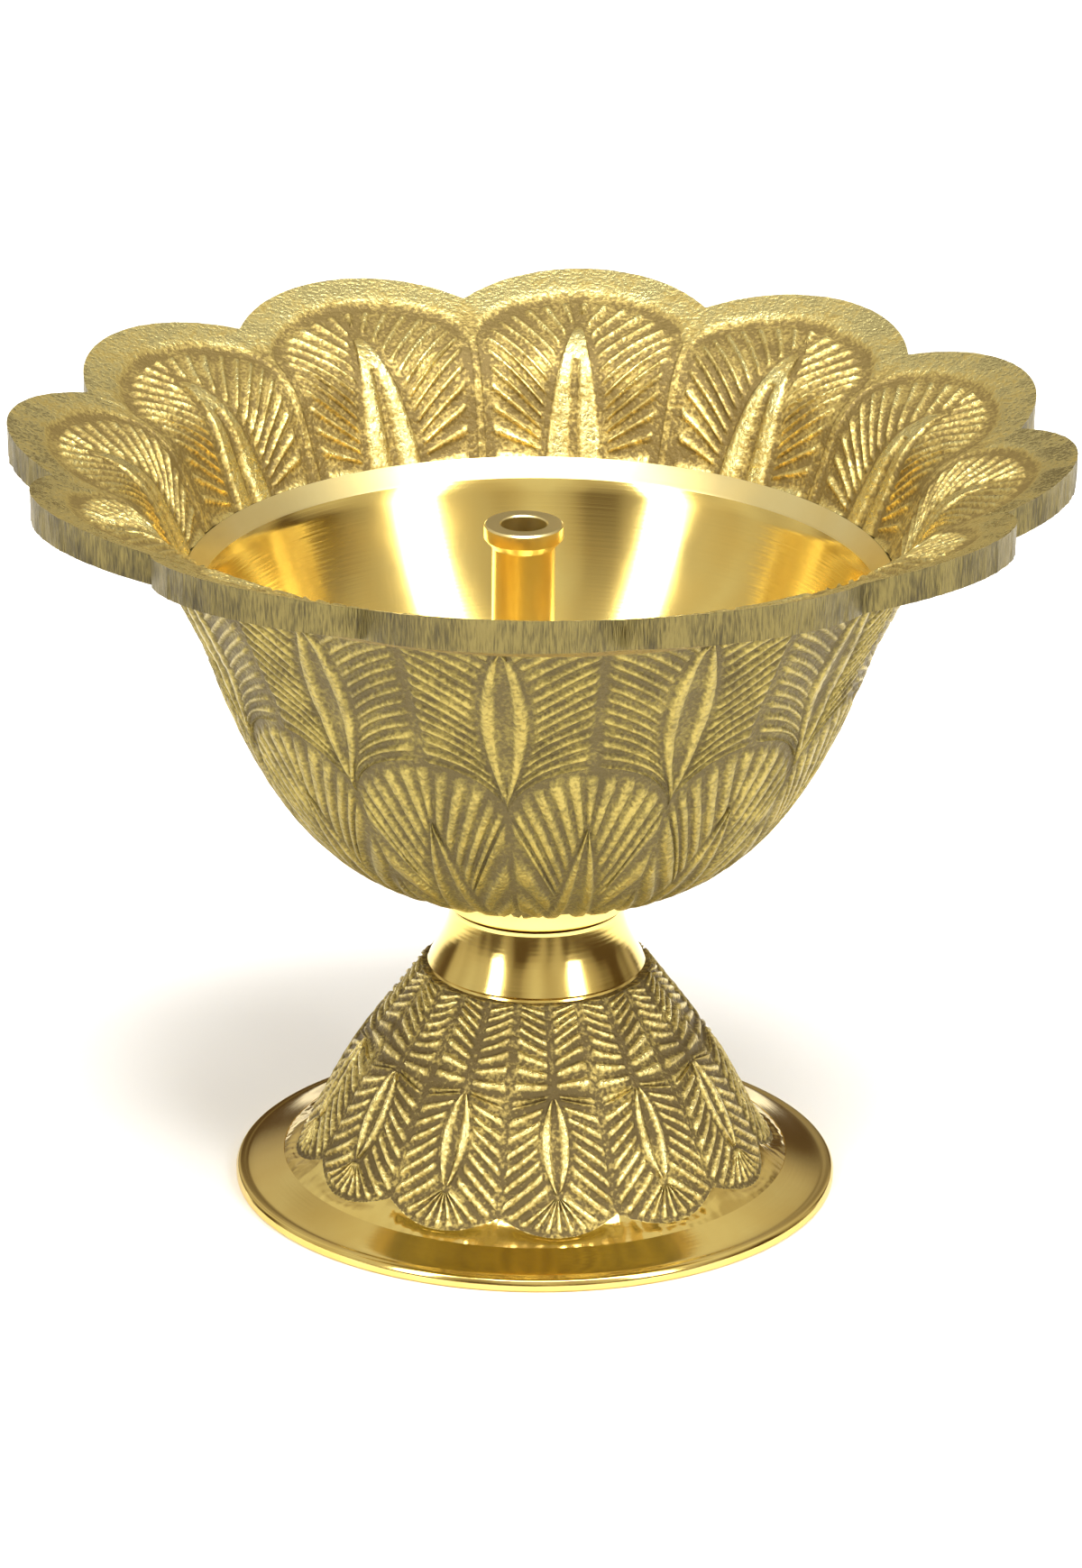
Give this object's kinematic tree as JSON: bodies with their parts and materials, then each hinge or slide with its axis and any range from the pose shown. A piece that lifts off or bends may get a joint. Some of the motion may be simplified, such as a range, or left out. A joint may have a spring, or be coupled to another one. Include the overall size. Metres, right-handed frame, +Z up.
{
  "type": "diya oil lamp",
  "caption": "Footed oil lamp: a flared bowl with a brim of lotus petals screws onto an engraved bell foot, with a tubular wick stem standing inside.",
  "frame": {"origin": "centre of the foot's resting face, on the lamp's axis", "axes": "+Z up along the lamp's axis; +X towards the tip of one petal; +Y towards the tip of another"},
  "size_m": [0.09, 0.09, 0.0672],
  "materials": {
    "foot_brass": "engraved and antiqued on the bell, polished on the neck and flange",
    "bowl_brass": "engraved and antiqued outside and on the petals, mirror polished in the cup and on the lip",
    "turned_brass": "turned and polished",
    "leather": "oiled"
  },
  "bodies": {
    "foot": {"foot": "foot_brass"},
    "neck_washer": {"joint_washer": "leather"},
    "bowl": {"bowl": "bowl_brass", "joining_stud": "turned_brass"},
    "seal": {"stem_washer": "leather"},
    "stem": {"wick_stem": "turned_brass"}
  },
  "joints": [
    {"name": "bowl_turn", "type": "hinge", "parent": "foot", "child": "neck_washer", "pos_m": [0, 0, 0.025], "axis": [0, 0, 1], "range_deg": [0, 2520]},
    {"name": "bowl_lift", "type": "slide", "parent": "neck_washer", "child": "bowl", "axis": [0, 0, 1], "range_m": [0, 0.0071]},
    {"name": "stem_turn", "type": "hinge", "parent": "bowl", "child": "seal", "pos_m": [-0.00135, 0, 0.0332], "axis": [0, 0, 1], "range_deg": [0, 2522]},
    {"name": "stem_lift", "type": "slide", "parent": "seal", "child": "stem", "axis": [0, 0, 1], "range_m": [0, 0.0035]}
  ],
  "couplings": [
    {"joint": "bowl_lift", "follows": "bowl_turn", "m_per_rad": 0.00015915},
    {"joint": "stem_turn", "follows": "stem_lift", "rad_per_m": 12566}
  ]
}
